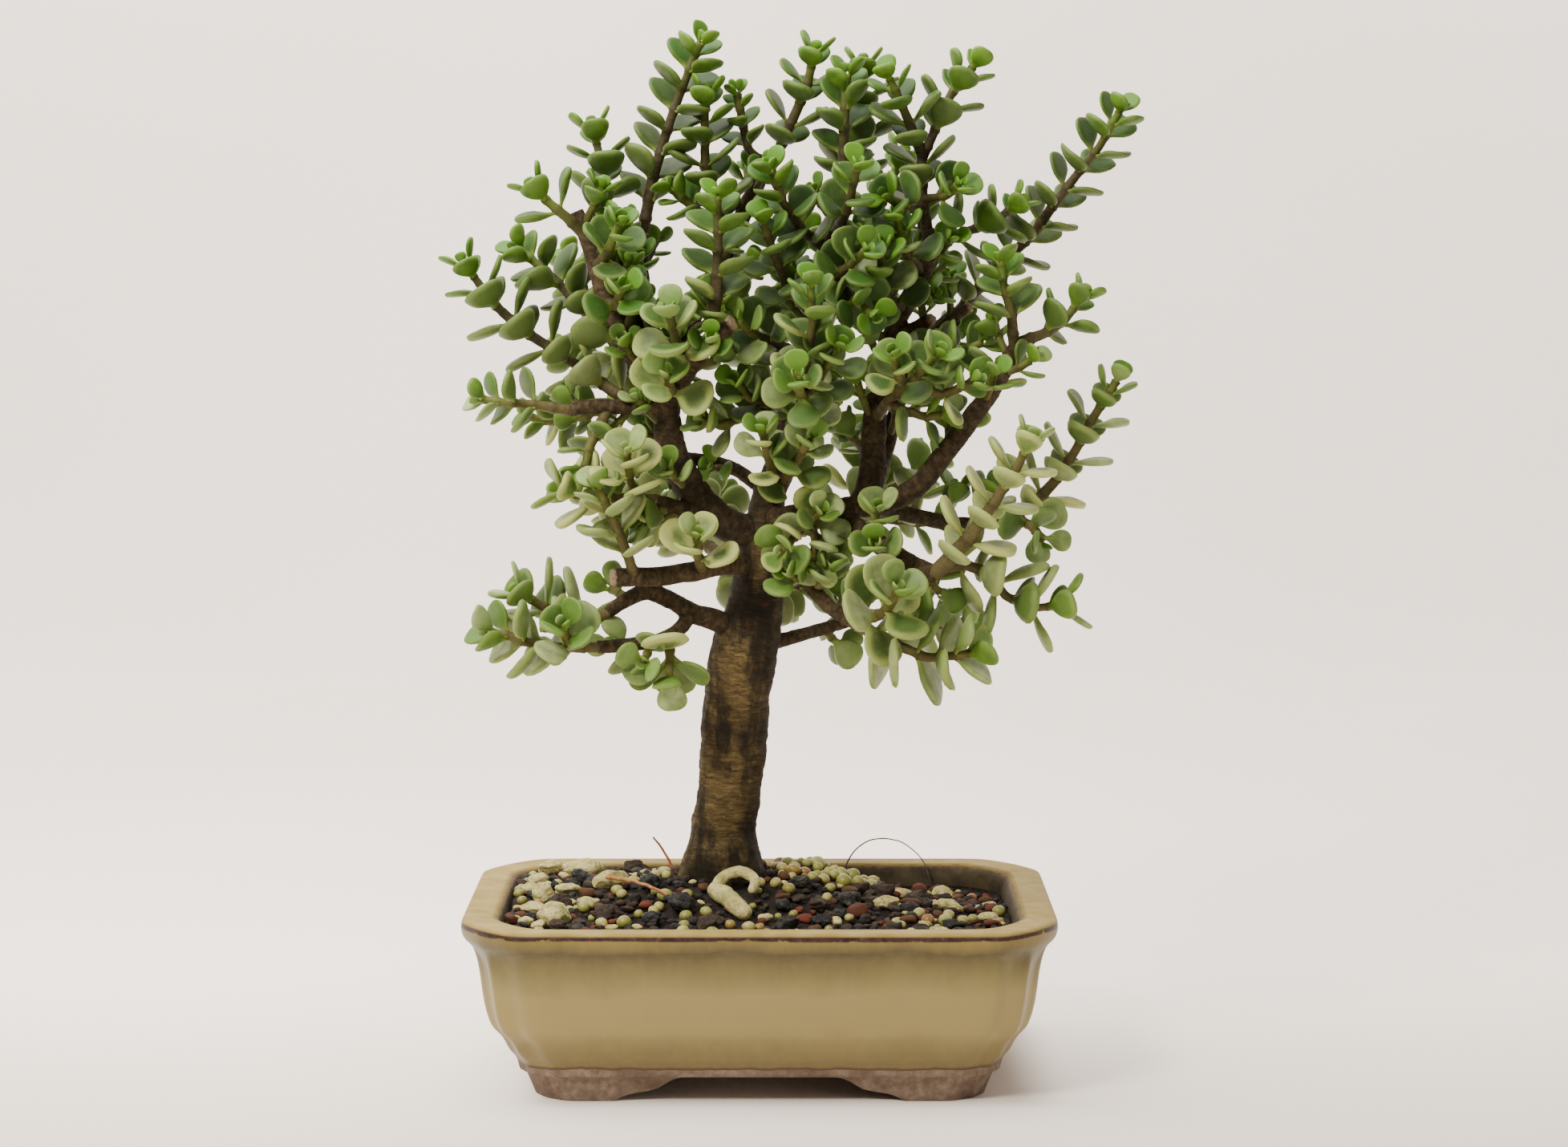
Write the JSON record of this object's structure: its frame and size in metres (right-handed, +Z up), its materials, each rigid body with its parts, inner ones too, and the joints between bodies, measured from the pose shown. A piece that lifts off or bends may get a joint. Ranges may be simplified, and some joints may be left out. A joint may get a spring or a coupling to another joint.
{
  "type": "variegated dwarf jade bonsai",
  "caption": "Small jade tree trained as an upright bonsai, with paired cream-edged leaves on spreading limbs, in gritty soil in a rectangular glazed pot on feet.",
  "frame": {"origin": "middle of the whole object's box on plan, on the surface that the pot stands on", "axes": "+Z up along the trunk; +X along the pot's long side, to the right seen from its front; the pot's front faces -Y"},
  "size_m": [0.2438, 0.1662, 0.3664],
  "materials": {
    "glaze": "satin",
    "screen": "matte",
    "soil": "matte",
    "coral": "matte",
    "bark": "matte",
    "leaf": "satin"
  },
  "bodies": {
    "root": {"pot": "glaze", "drain_screen_1": "screen", "drain_screen_2": "screen", "soil": "soil", "coral_slab": "coral", "coral_knob": "coral", "coral_finger": "coral", "coral_curl": "coral", "trunk_and_limbs": "bark", "leafy_stem_top_left": "leaf", "leafy_stem_top_left_inner": "leaf", "leafy_stem_top_centre_left": "leaf", "leafy_stem_top_centre": "leaf", "leafy_stem_top_right": "leaf", "leafy_stem_right_shoulder": "leaf", "leafy_stem_far_right_high": "leaf", "leafy_stem_far_right": "leaf", "leafy_stem_right_upright": "leaf", "leafy_stem_right_inner": "leaf", "leafy_stem_far_right_low": "leaf", "leafy_stem_right_straight": "leaf", "leafy_stem_right_droop": "leaf", "leafy_stem_low_right": "leaf", "leafy_stem_low_right_face": "leaf", "leafy_stem_low_right_rear": "leaf", "leafy_stem_low_left_high": "leaf", "leafy_stem_low_left_long": "leaf", "leafy_stem_low_left_hang": "leaf", "leafy_stem_cut_arm_twig": "leaf", "leafy_stem_cut_arm_face": "leaf", "leafy_stem_mid_left": "leaf", "leafy_stem_left_arm_end": "leaf", "leafy_stem_left_arm_hang": "leaf", "leafy_stem_left_long": "leaf", "leafy_stem_left_thin": "leaf", "leafy_stem_left_crown_end": "leaf", "leafy_stem_left_crown_up": "leaf", "leafy_stem_left_crown_face": "leaf", "leafy_stem_left_crown_low": "leaf", "leafy_stem_front_upright": "leaf", "leafy_stem_front_leaves": "leaf", "leafy_stem_front_leaves_low": "leaf", "leafy_stem_front_centre": "leaf", "leafy_stem_front_right": "leaf", "leafy_stem_front_low": "leaf", "leafy_stem_low_centre": "leaf", "leafy_stem_inner_left_high": "leaf", "leafy_stem_inner_left_low": "leaf", "leafy_stem_inner_left_top": "leaf", "leafy_stem_inner_top": "leaf", "leafy_stem_inner_top_right": "leaf", "leafy_stem_inner_right": "leaf", "leafy_stem_right_face": "leaf", "leafy_stem_right_face_high": "leaf", "leafy_stem_back_left": "leaf", "leafy_stem_back_right": "leaf", "leafy_stem_back_high": "leaf", "leafy_stem_back_high_right": "leaf", "leafy_stem_back_low": "leaf", "leafy_stem_left_back": "leaf"}
  },
  "joints": []
}
